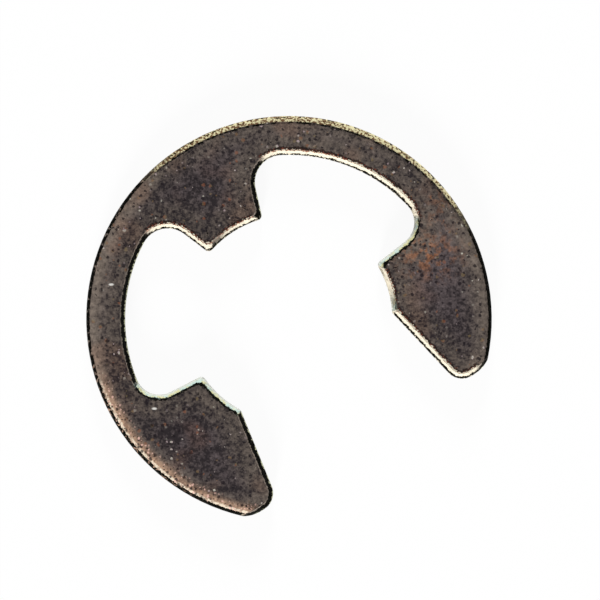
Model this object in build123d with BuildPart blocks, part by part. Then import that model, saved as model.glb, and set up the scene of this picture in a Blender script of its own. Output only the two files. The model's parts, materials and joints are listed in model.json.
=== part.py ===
from build123d import *
from math import cos, hypot, radians, sqrt, tan
import os

# E-style retaining ring for a 3/4 in shaft: one flat stamping of hardened spring steel.
# It is pushed sideways into a groove until its three prongs seat on the groove's floor.
# Millimetres. The origin is on the shaft's axis at the ring's underside, +Z runs along the
# shaft, and the throat that the shaft comes in by faces -Y. The ring is symmetric about YZ.

# Sheet and outline. Levels are heights in Y above the shaft's centre, and flares are
# degrees away from the axis of symmetry on each side.
thickness = 1.27
ring_radius = 28.45 / 2
seat_radius = 14.5 / 2  # the circle that the three prongs end on
slot_radius = 11.5  # inner side of the bow, round the same centre
prong_half_width = 2.22  # centre prong, where it meets the seat circle
prong_flare = 20.0
arm_level = -0.08  # upper seat corner of each arm
arm_rise = 5.5  # degrees that an arm's upper edge climbs towards the bow
throat_level = -3.56  # lower seat corner of each arm
throat_flare = 10.5
tip_level = -10.3  # the arms end flat across here

# Roundings of the outline, from above
slot_top_fillet = 1.9
slot_arm_fillet = 1.7
tip_fillet = 1.3
tip_outer_fillet = 2.4  # where an arm's end runs into the bow
tip_outer_cross = 0.08  # how far this rounding reaches past the bow, so as not to graze it
prong_corner_fillet = 0.35  # on the burnished wall
rim_corner_fillet = 0.6  # the same corners where the rim has torn back

# Sheared edges. The bow is cut from above, so its edge is drawn down at the top face and
# breaks away inwards near the underside. The opening is cut from below: it is drawn up at
# the underside, burnished to break_level, and breaks away outwards to a crisp rim on top.
roll_width, roll_depth = 0.42, 0.27
roll_face_fillet, roll_wall_fillet = 0.85, 0.36
under_break_width, under_break_height = 0.07, 0.3
under_roll = 0.12
break_level = 0.72
break_width = 0.36

tip_outer_arc = 30.0  # degrees of that rounding, enough to reach the bow
reach = 2 * ring_radius  # past every edge of the ring
over = 1.0  # past the faces of the sheet


def seat_point(level):
    """Point of the seat circle at a level, on the +X side."""
    return sqrt(seat_radius**2 - level**2), level


def corners(outline, distance, upper):
    """A sketch's corners at this distance from the shaft's axis, in the upper or the lower part."""
    found = outline.vertices().filter_by(lambda v: abs(hypot(v.X, v.Y) - distance) < 1e-4)
    return found.filter_by(lambda v: (v.Y > distance / 2) == upper)


def edge_x(corner, flare, level, shift):
    """X at a level of a straight edge through a corner, flared away from the axis of symmetry
    and shifted square to itself."""
    return corner[0] + tan(radians(flare)) * (level - corner[1]) + shift / cos(radians(flare))


def opening_outline(spread, corner_fillet):
    """The slots, the seat, the flared throat and the open side below the tips, with every edge
    moved into the metal by spread and the prongs' corners rounded by corner_fillet."""
    prong_corner = (prong_half_width, sqrt(seat_radius**2 - prong_half_width**2))
    arm_corner = seat_point(arm_level)
    throat_corner = seat_point(throat_level)
    prong_foot = seat_radius / 2  # inside the seat circle
    arm_slope = tan(radians(arm_rise))
    arm_start = arm_level - arm_slope * arm_corner[0] - spread / cos(radians(arm_rise))
    mouth_level = tip_level + spread
    mouth_half_width = edge_x(throat_corner, -throat_flare, mouth_level, spread)
    tip_outer_reach = ring_radius - tip_outer_fillet + tip_outer_cross
    tip_outer_level = mouth_level + tip_outer_fillet
    tip_outer_centre = (sqrt(tip_outer_reach**2 - tip_outer_level**2), tip_outer_level)
    with BuildSketch() as outline:
        Circle(slot_radius + spread)
        with BuildSketch(mode=Mode.SUBTRACT):
            with BuildLine():
                Polyline(
                    (0, prong_foot),
                    (edge_x(prong_corner, prong_flare, prong_foot, -spread), prong_foot),
                    (edge_x(prong_corner, prong_flare, reach, -spread), reach),
                    (0, reach),
                )
                mirror(about=Plane.YZ)
            make_face()
        with BuildSketch(mode=Mode.SUBTRACT):
            with BuildLine():
                Polyline(
                    (0, arm_start),
                    (reach, arm_start + arm_slope * reach),
                    (reach, -reach),
                    (0, -reach),
                )
                mirror(about=Plane.YZ)
            make_face()
        Circle(seat_radius + spread)
        with BuildSketch():
            with BuildLine():
                Polyline(
                    (0, 0),
                    (edge_x(throat_corner, -throat_flare, 0, spread), 0),
                    (mouth_half_width, mouth_level),
                    (tip_outer_centre[0], mouth_level),
                )
                rounding = CenterArc(tip_outer_centre, tip_outer_fillet, -90, tip_outer_arc)
                leaving = Line(rounding @ 1, rounding @ 1 + ring_radius * (rounding % 1))
                Polyline(leaving @ 1, (reach, -reach), (0, -reach))
                mirror(about=Plane.YZ)
            make_face()
        for distance, above_fillet, below_fillet in (
            (slot_radius + spread, slot_top_fillet + spread, slot_arm_fillet + spread),
            (seat_radius + spread, corner_fillet, corner_fillet),
            (hypot(mouth_half_width, mouth_level), None, tip_fillet - spread),
        ):
            if above_fillet:
                fillet(corners(outline, distance, upper=True), above_fillet)
            fillet(corners(outline, distance, upper=False), below_fillet)
    return outline.sketch


with BuildPart() as e_clip:
    # The blank is turned about the shaft's axis, so that the bow's edge has one section
    wall_end = (ring_radius, thickness - roll_depth)
    face_end = (ring_radius - roll_width, thickness)
    with BuildSketch(Plane.XZ) as section:
        with BuildLine():
            Polyline(
                (0, 0),
                (ring_radius - under_break_width, 0),
                (ring_radius, under_break_height),
                wall_end,
                face_end,
                (0, thickness),
                close=True,
            )
        make_face()
        for corner, radius in ((wall_end, roll_wall_fillet), (face_end, roll_face_fillet)):
            fillet(section.vertices().sort_by_distance(corner)[0], radius)
    revolve(axis=Axis.Z)

    # The opening goes straight up to break_level and widens from there to the rim
    burnished = opening_outline(0, prong_corner_fillet)
    rim = opening_outline(break_width, rim_corner_fillet)
    with BuildSketch(Plane.XY.offset(-over)):
        add(burnished)
    extrude(amount=over + break_level, mode=Mode.SUBTRACT)
    with BuildSketch(Plane.XY.offset(break_level)):
        add(burnished)
    with BuildSketch(Plane.XY.offset(thickness)):
        add(rim)
    loft(ruled=True, mode=Mode.SUBTRACT)

    # The punch drew up the opening's lower edge
    underside = e_clip.faces().sort_by(Axis.Z)[0]
    bow_edge = underside.edges().sort_by(SortBy.LENGTH)[-1]
    fillet(underside.edges() - [bow_edge], under_roll)

e_clip.part.label = "e_clip"
os.makedirs("parts", exist_ok=True)
export_step(e_clip.part, "parts/e_clip.step")
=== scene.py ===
import json
import math

import bmesh
import bpy
from bpy.props import FloatProperty, FloatVectorProperty, PointerProperty
from bpy.types import Operator, Panel, PropertyGroup
from mathutils import Matrix, Vector
from mathutils.bvhtree import BVHTree

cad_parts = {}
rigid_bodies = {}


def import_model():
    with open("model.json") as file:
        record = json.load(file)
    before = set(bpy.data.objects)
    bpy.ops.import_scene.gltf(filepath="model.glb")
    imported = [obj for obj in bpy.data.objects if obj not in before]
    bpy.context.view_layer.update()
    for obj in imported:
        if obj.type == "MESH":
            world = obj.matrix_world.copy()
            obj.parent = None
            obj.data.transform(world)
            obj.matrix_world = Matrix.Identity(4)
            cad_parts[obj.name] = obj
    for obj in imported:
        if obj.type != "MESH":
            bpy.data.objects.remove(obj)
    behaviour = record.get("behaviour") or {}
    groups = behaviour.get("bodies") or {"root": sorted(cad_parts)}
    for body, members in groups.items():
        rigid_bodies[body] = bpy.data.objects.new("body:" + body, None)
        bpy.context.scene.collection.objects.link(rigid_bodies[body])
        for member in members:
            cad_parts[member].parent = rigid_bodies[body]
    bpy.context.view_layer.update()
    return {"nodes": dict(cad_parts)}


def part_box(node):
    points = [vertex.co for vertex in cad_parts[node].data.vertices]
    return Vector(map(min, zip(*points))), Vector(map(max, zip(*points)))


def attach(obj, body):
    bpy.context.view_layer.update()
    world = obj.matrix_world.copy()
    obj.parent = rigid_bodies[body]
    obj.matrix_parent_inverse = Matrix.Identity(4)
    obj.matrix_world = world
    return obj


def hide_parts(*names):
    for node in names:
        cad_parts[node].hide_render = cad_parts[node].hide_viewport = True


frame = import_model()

bl_info = {
    "name": "E-Style Retaining Ring",
    "version": (1, 0, 0),
    "blender": (4, 5, 0),
    "location": "3D View > Sidebar > Retaining Ring",
    "description": "Finishes a stamped spring-steel retaining ring and stands it in a pale studio",
    "category": "Add Mesh",
}

CAD_NODE = "e_clip"

# The ring is shaped in millimetres and brought back to metres when it is done.
MM = 1000.0
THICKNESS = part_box(CAD_NODE)[1].z * MM
RING_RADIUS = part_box(CAD_NODE)[1].y * MM
GRAIN_TURN = math.radians(32.7)  # the sheet's grain lies this far from the ring's own X
GRAIN_ALONG = Vector((math.cos(GRAIN_TURN), -math.sin(GRAIN_TURN), 0.0))
GRAIN_ACROSS = Vector((math.sin(GRAIN_TURN), math.cos(GRAIN_TURN), 0.0))

# Bands beside the edges of the top face and of the underside, and rows up the walls, closer
# together where the metal rolls over or tears.
TOP_BANDS = (0.08, 0.12, 0.2, 0.3)
UNDER_BANDS = (0.15, 0.35)
LOW_ROWS = (0.08, 0.16, 0.24, 0.36, 0.52, 0.64)
HIGH_ROWS = (0.78, 0.84, 0.9, 0.96, 1.02, 1.08, 1.14, 1.19, 1.235)
FOOT_LEVEL = 0.3  # the bow's wall is rough below this, where the blank broke away
ROLL_LEVEL = 0.8  # and rolls over to the top face above this


# Settings ---------------------------------------------------------------------------------


class RingShape(PropertyGroup):
    """Sizes of the sheared edges, in millimetres."""

    break_level: FloatProperty(
        name="Burnish Height",
        description="Height up to which the punch left a smooth wall, in mm",
        default=0.72,
        min=0.2,
        max=1.1,
    )
    wall_step: FloatProperty(
        name="Wall Step",
        description="Distance between the mesh's columns along a sheared wall, in mm",
        default=0.12,
        min=0.06,
        max=0.5,
    )
    face_step: FloatProperty(
        name="Face Step",
        description="Distance between the mesh's lines across the flat faces, in mm",
        default=0.4,
        min=0.12,
        max=1.0,
    )
    tear_depth: FloatProperty(
        name="Tear Roughness",
        description="How far the torn band stands in and out, in mm",
        default=0.07,
        min=0.0,
        max=0.15,
    )
    rim_wander: FloatProperty(
        name="Rim Wander",
        description="How far the crisp rim strays from its line, in mm",
        default=0.06,
        min=0.0,
        max=0.15,
    )


class RingFinish(PropertyGroup):
    """Colours of the coat, the bare steel, which also stands for a painted highlight on the edges
    that face down, and the rust.
    """

    coat_dark: FloatVectorProperty(
        name="Dark Coat",
        description="Phosphate coat at its thickest",
        subtype="COLOR",
        default=(0.016, 0.012, 0.0135),
        min=0.0,
        max=1.0,
    )
    coat_light: FloatVectorProperty(
        name="Light Coat",
        description="Thinner, olive-brown coat towards the edges",
        subtype="COLOR",
        default=(0.205, 0.165, 0.135),
        min=0.0,
        max=1.0,
    )
    # Laid on the walls and rims that face down, where it is also a painted highlight
    steel: FloatVectorProperty(
        name="Torn Steel",
        description="Bare steel of the torn band",
        subtype="COLOR",
        default=(0.62, 0.56, 0.44),
        min=0.0,
        max=1.0,
    )
    rust: FloatVectorProperty(
        name="Rust",
        description="Light surface rust",
        subtype="COLOR",
        default=(0.24, 0.075, 0.030),
        min=0.0,
        max=1.0,
    )


class StageSettings(PropertyGroup):
    """Floor, lamps and camera."""

    floor_colour: FloatVectorProperty(
        name="Floor",
        description="Colour of the floor",
        subtype="COLOR",
        default=(0.92, 0.92, 0.92),
        min=0.0,
        max=1.0,
    )
    frame_width: FloatProperty(
        name="Frame Width",
        description="Width of the camera's view at the ring",
        default=0.0421,
        min=0.03,
        max=0.2,
        unit="LENGTH",
    )


# Mesh helpers -----------------------------------------------------------------------------


def make_active(piece):
    """Selects a piece and nothing else, and makes it the one that operators work on."""
    for item in bpy.context.view_layer.objects:
        item.select_set(False)
    piece.select_set(True)
    bpy.context.view_layer.objects.active = piece


def show_only(piece, test):
    """In edit mode, hides every face that fails a test, so that the next steps leave it alone."""
    bpy.ops.mesh.reveal(select=False)
    bpy.ops.mesh.select_all(action="DESELECT")
    mesh = bmesh.from_edit_mesh(piece.data)
    for face in mesh.faces:
        if not test(face):
            face.select_set(True)
    bmesh.update_edit_mesh(piece.data)
    bpy.ops.mesh.hide(unselected=False)


def cut(place, normal):
    """Cuts along a plane through whatever isn't hidden."""
    bpy.ops.mesh.select_all(action="SELECT")
    bpy.ops.mesh.bisect(plane_co=place, plane_no=normal, threshold=1e-5)


def cut_grid(piece, test, step):
    """Cuts the faces that pass a test along X and Y, a step apart."""
    show_only(piece, test)
    count = math.floor(RING_RADIUS / step)
    shift = 0.37  # of a step, so that no line runs along the ring's own straight edges
    for index in range(-count, count + 1):
        place = (index + shift) * step
        cut((place, 0, 0), (1, 0, 0))
        cut((0, place, 0), (0, 1, 0))
    bpy.ops.mesh.reveal(select=False)


def inset_face(piece, up, widths):
    """Insets the sheet's flat face on one side by each of the widths in turn. The bands that
    this makes are numbered from the edge inwards in the layer "band"."""
    mesh = bmesh.from_edit_mesh(piece.data)
    if "band" not in mesh.faces.layers.int:
        mesh.faces.layers.int.new("band")
    for number, width in enumerate(widths, 1):
        mesh = bmesh.from_edit_mesh(piece.data)
        band = mesh.faces.layers.int["band"]
        flat = [face for face in mesh.faces if face.normal.z * up > 0.999 and not face[band]]
        middle = max(flat, key=lambda face: face.calc_area())
        middle[band] = number
        bpy.ops.mesh.select_all(action="DESELECT")
        middle.select_set(True)
        bmesh.update_edit_mesh(piece.data)
        bpy.ops.mesh.inset(thickness=width, use_even_offset=True, use_relative_offset=False)
        # The inset's border keeps the number, and its middle is what the next inset takes
        mesh = bmesh.from_edit_mesh(piece.data)
        band = mesh.faces.layers.int["band"]
        for face in mesh.faces:
            if face.select:
                face[band] = 0
        bmesh.update_edit_mesh(piece.data)


def ramp(value, start, end):
    """How far a value has gone from start to end, held between 0 and 1."""
    return min(max((value - start) / (end - start), 0.0), 1.0)


def vertex_group(piece, name, weight):
    """Adds a group of the vertices to which weight gives a share."""
    group = piece.vertex_groups.new(name=name)
    for vertex in piece.data.vertices:
        share = weight(vertex)
        if share > 0.0:
            group.add([vertex.index], share, "REPLACE")


def displace(piece, group, texture, direction, strength):
    """Moves a vertex group by a texture, along the normals or along one axis."""
    modifier = piece.modifiers.new(texture.name, "DISPLACE")
    modifier.texture = texture
    modifier.texture_coords = "LOCAL"
    modifier.direction = direction
    modifier.strength = strength
    modifier.mid_level = 0.5
    modifier.vertex_group = group
    make_active(piece)
    bpy.ops.object.modifier_apply(modifier=modifier.name)


def clouds(name, size, depth):
    """Hard-edged noise for displace."""
    texture = bpy.data.textures.new(name, "CLOUDS")
    texture.noise_scale = size
    texture.noise_depth = depth
    texture.noise_type = "HARD_NOISE"
    return texture


# The ring ---------------------------------------------------------------------------------


def is_opening_wall(face):
    """True for the walls of the opening and of the tips. Near the full radius the bow's own edge
    faces away from the axis, and beside the tips it does so more squarely than they do."""
    flattest_wall, bow_from, tips_below = 0.93, 13.3, -9.5
    if abs(face.normal.z) > flattest_wall:
        return False
    centre = face.calc_center_median()
    from_axis = Vector((centre.x, centre.y))
    if from_axis.length < bow_from:
        return True
    facing = Vector((face.normal.x, face.normal.y)).normalized()
    outward = facing.dot(from_axis.normalized())
    return outward < (0.985 if centre.y < tips_below else 0.05)


def measure_edges(piece):
    """Stores each point's distance from the nearest wall of the opening, and which way that
    wall faces across and along the grain."""
    furthest = 3.0
    mesh = bmesh.new()
    mesh.from_mesh(piece.data)
    walls = [face for face in mesh.faces if is_opening_wall(face)]
    points = [vertex.co.copy() for vertex in mesh.verts]
    tree = BVHTree.FromPolygons(points, [[v.index for v in face.verts] for face in walls])
    mesh.free()
    gap = piece.data.attributes.new("rim_gap", "FLOAT", "POINT")
    facing = piece.data.attributes.new("rim_facing", "FLOAT", "POINT")
    turning = piece.data.attributes.new("rim_turning", "FLOAT", "POINT")
    for vertex in piece.data.vertices:
        _, normal, _, distance = tree.find_nearest(vertex.co)
        side = Vector((normal.x, normal.y, 0.0)).normalized()
        gap.data[vertex.index].value = min(distance, furthest)
        facing.data[vertex.index].value = side.dot(GRAIN_ACROSS)
        turning.data[vertex.index].value = side.dot(GRAIN_ALONG)


def is_steep(face):
    return abs(face.normal.z) < 0.9


def is_flat(face):
    return abs(face.normal.z) > 0.99


def edge_groups(piece, shape):
    """Groups the vertices of the torn band, of the opening's rim and of the bow's foot."""
    gaps = piece.data.attributes["rim_gap"].data
    on_wall = {index for index, gap in enumerate(gaps) if gap.value < 1e-3}

    def torn(vertex):
        above_burnish = ramp(vertex.co.z, shape.break_level, shape.break_level + 0.1)
        below_rim = ramp(vertex.co.z, THICKNESS, THICKNESS - 0.05)
        return above_burnish * below_rim if vertex.index in on_wall else 0.0

    def rim(vertex):
        return ramp(vertex.co.z, THICKNESS - 0.12, THICKNESS) if vertex.index in on_wall else 0.0

    def foot(vertex):
        on_bow = math.hypot(vertex.co.x, vertex.co.y) > RING_RADIUS - 0.1
        above_underside = ramp(vertex.co.z, 0.0, 0.05)
        below_wall = ramp(vertex.co.z, FOOT_LEVEL, FOOT_LEVEL - 0.06)
        return above_underside * below_wall if on_bow else 0.0

    vertex_group(piece, "torn", torn)
    vertex_group(piece, "rim", rim)
    vertex_group(piece, "foot", foot)


def finished_ring(shape):
    """A closer mesh of the ring, with a ragged torn band, rim and foot."""
    node = frame["nodes"][CAD_NODE]
    piece = bpy.data.objects.new("ring", node.data.copy())
    bpy.context.collection.objects.link(piece)
    piece.data.name = "ring"
    piece.data.materials.clear()
    piece.data.transform(Matrix.Scale(MM, 4))
    make_active(piece)

    bpy.ops.object.mode_set(mode="EDIT")
    bpy.ops.mesh.select_all(action="SELECT")
    bpy.ops.mesh.customdata_custom_splitnormals_clear()
    bpy.ops.mesh.remove_doubles(threshold=1e-3)
    bpy.ops.mesh.dissolve_limited(angle_limit=math.radians(0.3))

    inset_face(piece, 1, TOP_BANDS)
    inset_face(piece, -1, UNDER_BANDS)
    show_only(piece, is_steep)
    for level in LOW_ROWS + HIGH_ROWS:
        cut((0, 0, level), (0, 0, 1))
    bpy.ops.mesh.reveal(select=False)

    # A coarse grid over the faces, then columns along the walls and over the outer two bands
    cut_grid(piece, is_flat, shape.face_step)
    band = bmesh.from_edit_mesh(piece.data).faces.layers.int["band"]
    cut_grid(piece, lambda face: is_steep(face) or face[band] in (1, 2), shape.wall_step)
    bpy.ops.object.mode_set(mode="OBJECT")
    measure_edges(piece)

    edge_groups(piece, shape)
    tear = shape.tear_depth
    displace(piece, "torn", clouds("tear_coarse", 0.42, 1), "NORMAL", tear)
    displace(piece, "torn", clouds("tear_fine", 0.13, 1), "NORMAL", tear * 0.6)
    displace(piece, "foot", clouds("foot_tear", 0.2, 1), "NORMAL", tear * 0.7)
    displace(piece, "rim", clouds("rim_x", 0.22, 2), "X", shape.rim_wander)
    displace(piece, "rim", clouds("rim_y", 0.26, 2), "Y", shape.rim_wander)
    piece.vertex_groups.clear()

    bpy.ops.object.mode_set(mode="EDIT")
    bpy.ops.mesh.select_all(action="SELECT")
    bpy.ops.mesh.quads_convert_to_tris(quad_method="BEAUTY", ngon_method="BEAUTY")
    bpy.ops.object.mode_set(mode="OBJECT")
    bpy.ops.object.shade_smooth_by_angle(angle=math.radians(34), keep_sharp_edges=False)
    piece.data.transform(Matrix.Scale(1.0 / MM, 4))
    return piece


# Materials --------------------------------------------------------------------------------

# Where the coat took thinner or thicker: middle and half-sizes along and across the grain,
# in millimetres, and how much thinner.
COAT_PATCHES = (
    ((10.6, 4.4), (5.2, 5.6), 0.24),
    ((9.0, -0.8), (3.2, 2.8), -0.12),
    ((0.5, 12.9), (13.0, 4.2), 0.10),
    ((-7.6, 6.3), (7.0, 4.2), -0.12),
    ((-11.9, -3.8), (2.4, 3.2), -0.22),
    ((-8.8, -7.8), (5.0, 3.4), -0.08),
    ((-1.3, -13.0), (2.6, 2.2), 0.14),
)
RUSTY_ARM = ((9.8, 4.4), (3.4, 2.6))
RUSTY_BOW = ((10.6, 8.0), (2.0, 3.4))
DULL_TIP = ((-1.2, -13.4), (2.4, 2.4))
SCRATCHES = ((-12.46, 2.40), (-9.44, -6.30))
SCRATCH_SIZE = (0.24, 0.11)

# Colours. A pair is the dark and the light end that a noise or the coat runs between.
PURPLE_COAT = (0.165, 0.131, 0.133)
RUST_FILM = ((0.045, 0.020, 0.012), (0.42, 0.185, 0.095))
OLD_RUST = (0.20, 0.15, 0.07)
PIT_BLACK = (0.006, 0.003, 0.005)
PALE_SPECKS = ((0.42, 0.32, 0.33), (0.46, 0.44, 0.37))
SCRATCH_BRIGHT = (0.72, 0.70, 0.66)
RIM_RUST = ((0.006, 0.002, 0.001), (0.13, 0.028, 0.014))
LIP_RUST = ((0.04, 0.010, 0.006), (0.42, 0.20, 0.12))
# Tints and pale steel of the walls that face up, both also a painted highlight
TEMPER_TINTS_AND_HIGHLIGHT = ((0.62, 0.60, 0.34), (0.52, 0.66, 0.60))
TORN_FOOT_AND_HIGHLIGHT = (0.64, 0.66, 0.60)
TORN_SIDE_FOOT = (0.60, 0.62, 0.40)
TAN = ((0.10, 0.055, 0.04), (0.60, 0.37, 0.24))
# Pale line of the bow's edge: a painted highlight
EDGE_PALE_HIGHLIGHT = (0.66, 0.56, 0.43)
CHIP_BLACK = (0.012, 0.006, 0.006)
FLECK_PINK = (0.74, 0.46, 0.38)
# Warm tint of the bow's edge, brighter as a painted highlight
EDGE_YELLOW_AND_HIGHLIGHT = ((0.14, 0.07, 0.025), (0.70, 0.64, 0.38))
WIPED = ((0.045, 0.038, 0.036), (0.230, 0.200, 0.175))
ROUGH_FOOT = ((0.10, 0.082, 0.068), (0.36, 0.31, 0.25))
# Black scale, also used as painted shade and painted shadow on the edges that the lamps don't
# reach
SCALE_AND_SHADE_BLACK = (0.004, 0.004, 0.003)


class Graph:
    """Short calls for a material's nodes. A value is a number, a colour or another output."""

    def __init__(self, tree):
        self.tree = tree
        self.tree.nodes.clear()

    def node(self, kind, inputs=(), **settings):
        made = self.tree.nodes.new(kind)
        for name, value in settings.items():
            setattr(made, name, value)
        for name, value in dict(inputs).items():
            self.feed(made.inputs[name], value)
        return made

    def feed(self, socket, value):
        if isinstance(value, bpy.types.NodeSocket):
            self.tree.links.new(value, socket)
        elif socket.type == "RGBA":
            socket.default_value = (*value[:3], 1.0)
        else:
            socket.default_value = value

    def math(self, operation, first, second=0.0):
        made = self.node("ShaderNodeMath", operation=operation)
        self.feed(made.inputs[0], first)
        self.feed(made.inputs[1], second)
        return made.outputs[0]

    def product(self, *factors):
        result = factors[0]
        for factor in factors[1:]:
            result = self.math("MULTIPLY", result, factor)
        return result

    def add(self, first, second):
        return self.math("ADD", first, second)

    def most(self, *values):
        result = values[0]
        for value in values[1:]:
            result = self.math("MAXIMUM", result, value)
        return result

    def total(self, *parts):
        """Sum of values, each times its weight."""
        result = self.product(*parts[0])
        for value, weight in parts[1:]:
            result = self.add(result, self.product(value, weight))
        return result

    def clamp(self, value):
        made = self.node("ShaderNodeClamp", {"Value": value})
        return made.outputs[0]

    def rest(self, share):
        """What a share leaves of 1."""
        return self.math("SUBTRACT", 1.0, share)

    def length(self, first, second):
        squares = self.add(self.math("POWER", first, 2.0), self.math("POWER", second, 2.0))
        return self.math("SQRT", squares)

    def attribute(self, name):
        return self.node("ShaderNodeAttribute", attribute_name=name).outputs["Fac"]

    def swing(self, value, reach):
        """Stretches a noise from 0.5 either way by reach to -1 to 1."""
        made = self.node("ShaderNodeMapRange", clamp=False)
        for socket, number in zip(made.inputs[:5], (value, 0.5 - reach, 0.5 + reach, -1.0, 1.0)):
            self.feed(socket, number)
        return made.outputs[0]

    def span(self, value, low, high, start=0.0, end=1.0):
        """Smooth step of a value from start at low to end at high."""
        made = self.node("ShaderNodeMapRange", interpolation_type="SMOOTHSTEP")
        for socket, number in zip(made.inputs[:5], (value, low, high, start, end)):
            self.feed(socket, number)
        return made.outputs[0]

    def window(self, value, low, high, soft):
        """1 between low and high, with edges this soft."""
        inner = self.span(value, low - soft, low + soft)
        return self.product(inner, self.span(value, high - soft, high + soft, 1.0, 0.0))

    def mix(self, share, first, second):
        made = self.node("ShaderNodeMix", data_type="RGBA")
        self.feed(made.inputs[0], share)
        self.feed(made.inputs[6], first)
        self.feed(made.inputs[7], second)
        return made.outputs[2]

    def noise(self, place, scale, detail=2.0, roughness=0.5):
        made = self.node(
            "ShaderNodeTexNoise",
            {"Vector": place, "Scale": scale, "Detail": detail, "Roughness": roughness},
        )
        return made.outputs[0]

    def spots(self, place, per_mm, radius, share):
        """Spots across the sheet, of a radius in cells, in this share of the cells."""
        made = self.node(
            "ShaderNodeTexVoronoi",
            {"Vector": place, "Scale": per_mm, "Randomness": 1.0},
            voronoi_dimensions="2D",
        )
        spread = self.node("ShaderNodeSeparateColor")
        self.feed(spread.inputs[0], made.outputs["Color"])
        chosen = self.math("LESS_THAN", spread.outputs[0], share)
        size = self.span(spread.outputs[1], 0.0, 1.0, 0.45 * radius, radius)
        near = self.math("SUBTRACT", size, made.outputs["Distance"])
        return self.product(chosen, self.span(near, 0.0, radius * 0.35))

    def patch(self, along, across, middle, half_sizes, soft=1.0):
        """1 at a place on the sheet, fading to 0 at the patch's half-sizes."""
        dx = self.math("DIVIDE", self.math("SUBTRACT", along, middle[0]), half_sizes[0])
        dy = self.math("DIVIDE", self.math("SUBTRACT", across, middle[1]), half_sizes[1])
        return self.span(self.length(dx, dy), 1.0 - soft, 1.0, 1.0, 0.0)


class Places:
    """The places, noises and directions that the finish is laid out by, in millimetres."""

    def __init__(self, g):
        coordinates = g.node("ShaderNodeTexCoord")
        turned = g.node("ShaderNodeMapping", {"Vector": coordinates.outputs["Object"]})
        turned.inputs["Rotation"].default_value = (0.0, 0.0, GRAIN_TURN)
        turned.inputs["Scale"].default_value = (MM, MM, MM)
        self.place = turned.outputs[0]
        split = g.node("ShaderNodeSeparateXYZ", {"Vector": self.place})
        self.along, self.across, self.height = split.outputs
        self.radius = g.length(self.along, self.across)
        self.inset = g.math("SUBTRACT", RING_RADIUS, self.radius)  # in from the bow's outline
        normal = g.node("ShaderNodeSeparateXYZ", {"Vector": coordinates.outputs["Normal"]})
        steep = g.span(g.math("ABSOLUTE", normal.outputs[2]), 0.8, 0.93, 1.0, 0.0)

        # Noises from -1 to 1, from the finest to the coarsest
        self.fine = g.swing(g.noise(self.place, 8.5, 1.0), 0.22)
        self.wander = g.swing(g.noise(self.place, 5.0, 1.0), 0.25)
        self.grit = g.swing(g.noise(self.place, 4.4, 1.0), 0.2)
        self.mottle = g.swing(g.noise(self.place, 1.9, 2.0), 0.2)
        self.cloud = g.swing(g.noise(self.place, 0.36, 1.0), 0.2)

        # Beside the opening: the distance from its wall, and the way the wall faces. up, down
        # and side share out the whole rim, under is all of it that faces down, and wide is
        # the stretch towards the right arm where the rim's lines lie further apart.
        self.gap = g.attribute("rim_gap")
        facing = g.attribute("rim_facing")
        turning = g.attribute("rim_turning")
        dull_tip = g.patch(self.along, self.across, *DULL_TIP, 0.3)
        # These masks, by the way the wall faces, decide where the edges get painted highlight and
        # painted shade
        low = g.span(g.total((facing, 0.94), (turning, 0.34)), -0.35, -0.6)
        self.down = g.product(low, g.rest(dull_tip))
        self.under = g.span(facing, -0.35, -0.55)
        self.wide = g.product(g.span(self.along, 3.0, 7.0), g.span(turning, -0.92, -0.7))
        leftward = g.product(g.span(turning, -0.1, -0.4), g.rest(self.down))
        self.up = g.most(g.span(facing, 0.42, 0.6), leftward)
        self.side = g.rest(g.most(self.up, self.down))

        # Which surface it is: the opening's wall, the bow's whole edge, or its rolled part
        self.wall = g.product(g.span(self.gap, 0.0, 0.03, 1.0, 0.0), steep)
        self.off_wall = g.rest(self.wall)
        away = g.span(self.gap, 0.0, 0.1)
        self.edge = g.product(steep, away)
        self.over_roll = g.span(self.height, ROLL_LEVEL - 0.04, ROLL_LEVEL + 0.04)
        self.rolled = g.product(away, self.over_roll)

        # Along the bow: slant is -1 at its left and 1 at its right, and the others are where
        # its edge faces left, up or down the grain
        # bow_up and bow_down likewise place the bow's painted highlights and painted shade
        rise = g.math("DIVIDE", self.across, self.radius)
        self.slant = g.math("DIVIDE", self.along, self.radius)
        self.left = g.span(self.slant, -0.35, -0.85)
        tilt = g.total((rise, 1.0), (self.slant, 0.155), (self.mottle, 0.05))
        self.bow_up = g.span(tilt, 0.54, 0.74)
        self.bow_down = g.span(rise, -0.22, -0.45)

        # Places for spots, bent a little so that they aren't round, and for streaks, drawn out
        # down the walls
        stir = g.node("ShaderNodeTexNoise", {"Vector": self.place, "Scale": 5.0, "Detail": 1.0})
        bent = g.node("ShaderNodeVectorMath", operation="MULTIPLY_ADD")
        g.feed(bent.inputs[0], stir.outputs["Color"])
        bent.inputs[1].default_value = (0.2, 0.2, 0.0)
        g.feed(bent.inputs[2], self.place)
        self.bent = bent.outputs[0]
        drawn = g.node("ShaderNodeMapping", {"Vector": self.place})
        drawn.inputs["Scale"].default_value = (1.0, 1.0, 0.10)
        self.drawn = drawn.outputs[0]


def coat(g, at, finish):
    """Phosphate coat: purple-grey in the middle of the wide parts, olive towards the edges."""
    narrow = g.span(g.math("MINIMUM", at.gap, at.inset), 0.6, 2.5, 1.0, 0.0)
    margin = g.product(g.span(at.inset, 1.52, 0.42), g.span(at.bow_up, 0.0, 1.0, 1.0, -0.1))
    thin = g.total(
        (narrow, 0.15),
        (margin, 0.24),
        (g.product(margin, at.left), 0.16),
        (at.cloud, 0.05),
        (at.mottle, 0.15),
        (at.grit, 0.20),
        (at.fine, 0.14),
    )
    thin = g.add(thin, 0.14)
    for middle, half_sizes, thinner in COAT_PATCHES:
        thin = g.total((thin, 1.0), (g.patch(at.along, at.across, middle, half_sizes), thinner))
    thin = g.clamp(thin)
    light = g.mix(narrow, PURPLE_COAT, tuple(finish.coat_light))
    return thin, g.mix(thin, tuple(finish.coat_dark), light)


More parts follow.
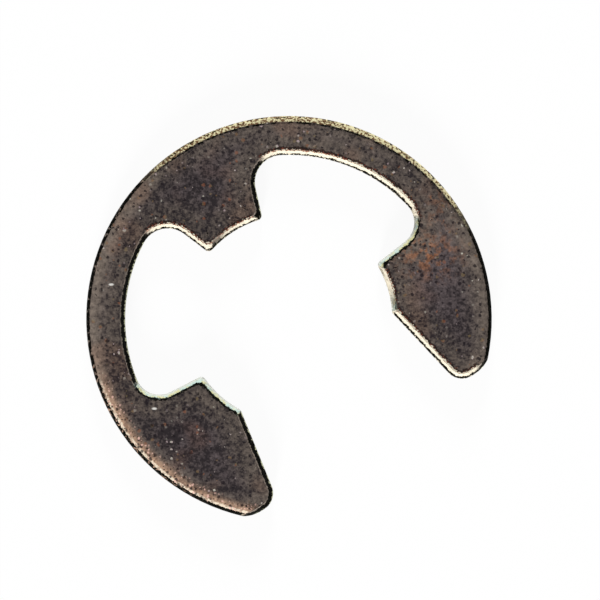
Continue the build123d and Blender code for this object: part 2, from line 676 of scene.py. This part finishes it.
def weathered(g, at, finish, thin, colour):
    """Rust over one arm and the bow beside it, pits, pale specks and two short scratches."""
    arm = g.patch(at.along, at.across, *RUSTY_ARM)
    bow = g.patch(at.along, at.across, *RUSTY_BOW)
    blotches = g.span(g.noise(at.place, 1.5, 3.0, 0.7), 0.44, 0.62)
    blotches = g.product(g.most(arm, g.product(bow, 0.5)), blotches)
    film = g.product(g.span(at.cloud, 0.0, 1.0), 0.16)
    colour = g.mix(g.most(blotches, film), colour, g.mix(thin, *RUST_FILM))
    dots = g.spots(at.bent, 2.2, 0.34, 0.15)
    dot_colour = g.mix(g.span(at.mottle, -0.5, 0.5), OLD_RUST, tuple(finish.rust))
    colour = g.mix(g.product(dots, 0.42), colour, dot_colour)

    pits = g.most(g.spots(at.bent, 2.6, 0.34, 0.30), g.spots(at.bent, 1.5, 0.24, 0.22))
    colour = g.mix(g.product(pits, 0.85), colour, PIT_BLACK)
    crowd = g.span(g.noise(at.place, 0.5, 1.0), 0.42, 0.60, 0.25, 1.0)
    specks = g.product(g.spots(at.bent, 2.7, 0.28, 0.12), crowd)
    speck_colour = g.mix(g.span(at.grit, -0.6, 0.6), *PALE_SPECKS)
    colour = g.mix(g.product(specks, 0.85), colour, speck_colour)
    for middle in SCRATCHES:
        scratch = g.patch(at.along, at.across, middle, SCRATCH_SIZE, 0.6)
        colour = g.mix(g.product(scratch, 0.9), colour, SCRATCH_BRIGHT)
    return pits, colour


def rim_lines(g, at, finish, colour):
    """On the face beside the opening: a rusty line, bare at the very rim as bare steel and a
    painted highlight, where the wall faces down, and black scale and painted shade where it faces
    up."""
    gap = g.total((at.gap, 1.0), (at.wander, 0.08), (at.fine, 0.05))
    low_gap = g.total((gap, 1.0), (at.wide, -0.06))
    line = g.product(at.down, at.off_wall, g.span(low_gap, 0.15, 0.23, 1.0, 0.0))
    line_colour = g.mix(g.span(at.fine, 0.1, 0.8), *RIM_RUST)
    colour = g.mix(g.product(line, 0.92), colour, line_colour)
    # The bare rim on the side that faces down is also a painted highlight
    bare = g.product(line, g.span(low_gap, -0.02, 0.03, 1.0, 0.0))
    colour = g.mix(bare, colour, tuple(finish.steel))
    # Black scale and painted shade beside the walls that face up
    black = g.product(at.off_wall, g.span(gap, 0.02, 0.08, 1.0, 0.0), at.up)
    return black, colour


def torn_band(g, at, finish, colour):
    """The opening's torn band: bare and rusty-lipped where it faces down, tinted where it faces
    up, both also pale as a painted highlight, with black scale and painted shade along its foot,
    its rim or its middle."""
    depth = g.math("SUBTRACT", THICKNESS, at.height)
    depth = g.total((depth, 1.0), (at.wander, 0.07), (at.fine, 0.04))
    lip_colour = g.mix(g.span(at.fine, -0.2, 0.5), *LIP_RUST)
    # Where the wall faces down or up it is pale: the steel's own colour and a painted highlight;
    # where it faces aside it keeps the coat
    below_lip = g.span(g.total((depth, 1.0), (at.wide, 0.1)), 0.08, 0.18)
    facing_down = g.mix(below_lip, lip_colour, tuple(finish.steel))
    tint = g.mix(g.span(at.mottle, -0.4, 0.4), *TEMPER_TINTS_AND_HIGHLIGHT)
    facing_up = g.mix(g.span(depth, 0.34, 0.50), tint, TORN_FOOT_AND_HIGHLIGHT)
    facing_aside = g.mix(g.span(depth, 0.46, 0.54), tuple(finish.coat_light), TORN_SIDE_FOOT)
    band = g.mix(at.up, g.mix(at.down, facing_aside, facing_down), facing_up)
    colour = g.mix(at.wall, colour, band)

    # Black scale and painted shade: black at the foot of the walls that face down, where the
    # ring's shadow meets the floor, at the rim of those that face up, and in the middle of those
    # that face aside, which the lamps don't reach
    foot_depth = g.total((depth, 1.0), (at.wide, 0.07))
    foot = g.product(g.span(foot_depth, 0.38, 0.45), g.span(depth, 0.52, 0.60, 1.0, 0.0))
    rim = g.span(depth, 0.18, 0.26, 1.0, 0.0)
    middle = g.window(depth, 0.12, 0.50, 0.04)
    scale = g.total((at.under, foot), (at.up, rim))
    scale = g.clamp(g.add(scale, g.product(at.side, middle)))
    return g.product(at.wall, scale), colour


def rolled_edge(g, at, thin, colour):
    """The bow's rounded edge: brown, with a pale painted highlight, where it faces down, yellow
    with a painted highlight where it faces up, with black scale and painted shade beyond it or
    inside it."""
    inset = g.total((at.inset, 1.0), (at.wander, -0.035), (at.fine, -0.02))
    broken = g.noise(at.place, 4.0, 1.0)

    low_edge = g.product(at.bow_down, at.rolled)
    brown = g.product(low_edge, g.span(inset, 1.12, 0.47))
    colour = g.mix(g.product(brown, 0.7), colour, g.mix(thin, *TAN))
    # Painted highlight: a pale line along the rolled edge where it faces down, towards the low
    # lamp, broken up by noise
    pale = g.product(low_edge, g.window(inset, 0.20, 0.42, 0.04))
    pale = g.product(pale, g.span(broken, 0.40, 0.52, 0.25, 0.95))
    colour = g.mix(pale, colour, EDGE_PALE_HIGHLIGHT)
    near = g.product(low_edge, g.span(at.inset, 1.22, 0.72))
    chips = g.product(near, g.spots(at.bent, 3.4, 0.46, 0.62))
    colour = g.mix(g.product(chips, 0.85), colour, CHIP_BLACK)
    flecks = g.product(near, g.spots(at.bent, 3.9, 0.38, 0.36))
    colour = g.mix(g.product(flecks, 0.8), colour, FLECK_PINK)

    # The yellow band, a warm tint and a painted highlight where the edge faces up, is narrower
    # towards the bow's left and right
    high_inset = g.total((inset, 1.0), (g.product(at.slant, at.slant), 0.20))
    yellow = g.product(at.bow_up, at.rolled, g.span(high_inset, 0.42, 0.36))
    speckle = g.total((g.noise(at.place, 6.0, 1.0), 1.0), (at.slant, 0.04))
    warm = g.mix(g.span(speckle, 0.42, 0.58), *EDGE_YELLOW_AND_HIGHLIGHT)
    colour = g.mix(g.product(yellow, 0.95), colour, warm)

    # Black dots and a dotted black line along the part of the edge that faces up
    dotted = g.span(g.noise(at.place, 3.3, 1.0), 0.40, 0.54, 0.25, 1.0)
    inner_line = g.product(at.bow_up, dotted, g.window(high_inset, 0.39, 0.53, 0.03))
    outer_dots = g.product(g.span(inset, 0.20, 0.14), g.span(broken, 0.52, 0.58, 0.0, 0.85))
    outer_dots = g.product(at.bow_up, outer_dots)
    whole = g.rest(g.product(at.left, g.span(broken, 0.42, 0.34)))
    # Painted shade and painted reflection: the roll's steep outer part is black where it faces
    # away from the far lamp
    outline = g.product(g.rest(at.bow_up), whole, g.span(inset, 0.27, 0.22))
    black = g.product(at.rolled, g.most(inner_line, outer_dots, outline))
    return black, colour


def burnished_walls(g, at, break_level, colour):
    """The walls that the tools wiped smooth, streaked down the thickness, and the bow's foot."""
    streak = g.span(g.swing(g.noise(at.drawn, 6.0, 2.0), 0.2), -1.0, 1.0)
    below_break = g.span(at.height, break_level - 0.04, break_level + 0.02, 1.0, 0.0)
    inside = g.product(at.wall, below_break)
    outside = g.product(at.edge, g.rest(at.over_roll))
    wiped = g.most(inside, outside)
    colour = g.mix(g.product(wiped, 0.9), colour, g.mix(streak, *WIPED))
    height = g.total((at.height, 1.0), (at.wander, 0.05))
    foot = g.span(height, FOOT_LEVEL - 0.03, FOOT_LEVEL + 0.03, 1.0, 0.0)
    foot = g.product(at.edge, foot)
    foot_colour = g.mix(g.span(at.fine, -0.7, 0.7), *ROUGH_FOOT)
    colour = g.mix(g.product(foot, 0.85), colour, foot_colour)
    return g.product(wiped, g.rest(foot)), colour


def spring_steel(shape, finish):
    """Phosphated spring steel with bare torn edges, spotted and lightly rusted, with painted
    highlights and painted shade on its edges by the way they face.
    """
    material = bpy.data.materials.new("phosphated_spring_steel")
    material.use_nodes = True
    g = Graph(material.node_tree)
    at = Places(g)
    thin, colour = coat(g, at, finish)
    pits, colour = weathered(g, at, finish, thin, colour)
    line_black, colour = rim_lines(g, at, finish, colour)
    band_black, colour = torn_band(g, at, finish, colour)
    bow_black, colour = rolled_edge(g, at, thin, colour)
    wiped, colour = burnished_walls(g, at, shape.break_level, colour)
    # Black scale and painted shade: the edges that face away from the lamps, and the feet of those
    # that face down, are painted black
    black = g.most(line_black, band_black, bow_black)
    colour = g.mix(black, colour, SCALE_AND_SHADE_BLACK)

    bump = g.node("ShaderNodeBump", {"Strength": 0.5, "Distance": 0.03 / MM})
    g.feed(bump.inputs["Height"], g.total((at.fine, 0.3), (at.grit, 0.5), (pits, -1.0)))
    surface = g.node("ShaderNodeBsdfPrincipled", {"Base Color": colour, "Metallic": black})
    roughness = g.span(at.grit, -1.0, 1.0, 0.45, 0.65)
    roughness = g.total((roughness, 1.0), (wiped, -0.12), (black, 0.3))
    g.feed(surface.inputs["Roughness"], roughness)
    g.feed(surface.inputs["Normal"], bump.outputs[0])
    surface.inputs["Specular IOR Level"].default_value = 0.12
    output = g.node("ShaderNodeOutputMaterial")
    g.feed(output.inputs["Surface"], surface.outputs[0])
    return material


# Stage ------------------------------------------------------------------------------------

# In metres, unless it says otherwise
VIEW_MIDDLE = Vector((0.00136, 0.00069, 0.0006))  # the camera looks straight down at this
LENS, SENSOR = 600.0, 36.0  # in mm: a lens so long that no side of the walls shows
FLOOR_SIZE = 4.0
FLOOR_LEVEL = -0.00002  # just below the ring, so that the two don't share a plane
FLOOR_WHITE = 0.93  # share of plain white in what the camera sees of the floor
SKY_STRENGTH = 0.35
LAMP_ELEVATION = math.radians(16)
LAMP_SOFTNESS = math.radians(14)
LAMP_DISTANCE = 0.5


def bright_to_view(g, share, lit):
    """Shows white to the camera and to mirrors, for this share, over a lit shader."""
    rays = g.node("ShaderNodeLightPath").outputs
    seen = g.most(rays["Is Camera Ray"], rays["Is Glossy Ray"], rays["Is Transmission Ray"])
    white = g.node("ShaderNodeEmission", {"Color": (1.0, 1.0, 1.0), "Strength": 1.0})
    mixed = g.node("ShaderNodeMixShader")
    g.feed(mixed.inputs[0], g.product(seen, share))
    g.feed(mixed.inputs[1], lit)
    g.feed(mixed.inputs[2], white.outputs[0])
    return mixed.outputs[0]


def add_sun(name, direction, strength):
    """Adds a low, soft sun that shines from a direction."""
    bpy.ops.object.light_add(type="SUN")
    lamp = bpy.context.object
    lamp.name = name
    level = math.cos(LAMP_ELEVATION)
    towards = Vector((direction.x * level, direction.y * level, math.sin(LAMP_ELEVATION)))
    lamp.location = towards * LAMP_DISTANCE
    lamp.rotation_euler = towards.to_track_quat("Z", "Y").to_euler()
    lamp.data.energy = strength
    lamp.data.angle = LAMP_SOFTNESS


def add_floor(colour):
    """Adds a matt floor that shows nearly white but keeps the ring's shadow."""
    bpy.ops.mesh.primitive_plane_add(size=FLOOR_SIZE, location=(0.0, 0.0, FLOOR_LEVEL))
    floor = bpy.context.object
    floor.name = "floor"
    material = bpy.data.materials.new("pale_floor")
    material.use_nodes = True
    g = Graph(material.node_tree)
    matt = g.node("ShaderNodeBsdfDiffuse", {"Color": colour})
    output = g.node("ShaderNodeOutputMaterial")
    g.feed(output.inputs["Surface"], bright_to_view(g, FLOOR_WHITE, matt.outputs[0]))
    floor.data.materials.append(material)


def add_sky(scene):
    """Gives the scene an even white sky."""
    world = bpy.data.worlds.new("studio")
    world.use_nodes = True
    scene.world = world
    g = Graph(world.node_tree)
    air = g.node("ShaderNodeBackground", {"Color": (1.0, 1.0, 1.0), "Strength": SKY_STRENGTH})
    output = g.node("ShaderNodeOutputWorld")
    g.feed(output.inputs["Surface"], bright_to_view(g, 1.0, air.outputs[0]))


def add_camera(scene, frame_width):
    """Adds the camera, square above the ring and turned in line with the grain."""
    bpy.ops.object.camera_add()
    camera = bpy.context.object
    camera.name = "camera"
    camera.data.lens = LENS
    camera.data.sensor_width = SENSOR
    distance = frame_width * LENS / SENSOR
    camera.location = VIEW_MIDDLE + Vector((0.0, 0.0, distance))
    camera.rotation_euler = (0.0, 0.0, -GRAIN_TURN)
    camera.data.clip_start = 0.01
    camera.data.clip_end = 20.0
    scene.camera = camera
    scene.view_settings.view_transform = "Standard"


class MESH_OT_retaining_ring_add(Operator):
    """Add the finished retaining ring"""

    bl_idname = "mesh.retaining_ring_add"
    bl_label = "Add Retaining Ring"
    bl_options = {"REGISTER", "UNDO"}

    def execute(self, context):
        shape = context.scene.ring_shape
        piece = finished_ring(shape)
        piece.data.materials.append(spring_steel(shape, context.scene.ring_finish))
        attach(piece, "root")
        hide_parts(CAD_NODE)
        return {"FINISHED"}


class SCENE_OT_retaining_ring_stage_add(Operator):
    """Add the floor, the lamps and the camera"""

    bl_idname = "scene.retaining_ring_stage_add"
    bl_label = "Add Stage"
    bl_options = {"REGISTER", "UNDO"}

    def execute(self, context):
        settings = context.scene.ring_stage
        add_floor(tuple(settings.floor_colour))
        add_sky(context.scene)
        add_sun("low_lamp", -GRAIN_ACROSS - 0.2 * GRAIN_ALONG, strength=5.2)
        add_sun("far_lamp", GRAIN_ACROSS, strength=3.0)
        add_camera(context.scene, settings.frame_width)
        return {"FINISHED"}


class VIEW3D_PT_retaining_ring(Panel):
    """Lists the ring's settings and its operators"""

    bl_idname = "VIEW3D_PT_retaining_ring"
    bl_label = "Retaining Ring"
    bl_space_type = "VIEW_3D"
    bl_region_type = "UI"
    bl_category = "Retaining Ring"

    def draw(self, context):
        for group, operator in (
            (context.scene.ring_shape, MESH_OT_retaining_ring_add.bl_idname),
            (context.scene.ring_finish, None),
            (context.scene.ring_stage, SCENE_OT_retaining_ring_stage_add.bl_idname),
        ):
            box = self.layout.box()
            for name in group.__annotations__:
                box.prop(group, name)
            if operator:
                box.operator(operator)


CLASSES = (
    RingShape,
    RingFinish,
    StageSettings,
    MESH_OT_retaining_ring_add,
    SCENE_OT_retaining_ring_stage_add,
    VIEW3D_PT_retaining_ring,
)


def register():
    for item in CLASSES:
        bpy.utils.register_class(item)
    bpy.types.Scene.ring_shape = PointerProperty(type=RingShape)
    bpy.types.Scene.ring_finish = PointerProperty(type=RingFinish)
    bpy.types.Scene.ring_stage = PointerProperty(type=StageSettings)


def unregister():
    del bpy.types.Scene.ring_stage
    del bpy.types.Scene.ring_finish
    del bpy.types.Scene.ring_shape
    for item in reversed(CLASSES):
        bpy.utils.unregister_class(item)


def main():
    register()
    bpy.ops.mesh.retaining_ring_add()
    bpy.ops.scene.retaining_ring_stage_add()


if __name__ == "__main__":
    main()
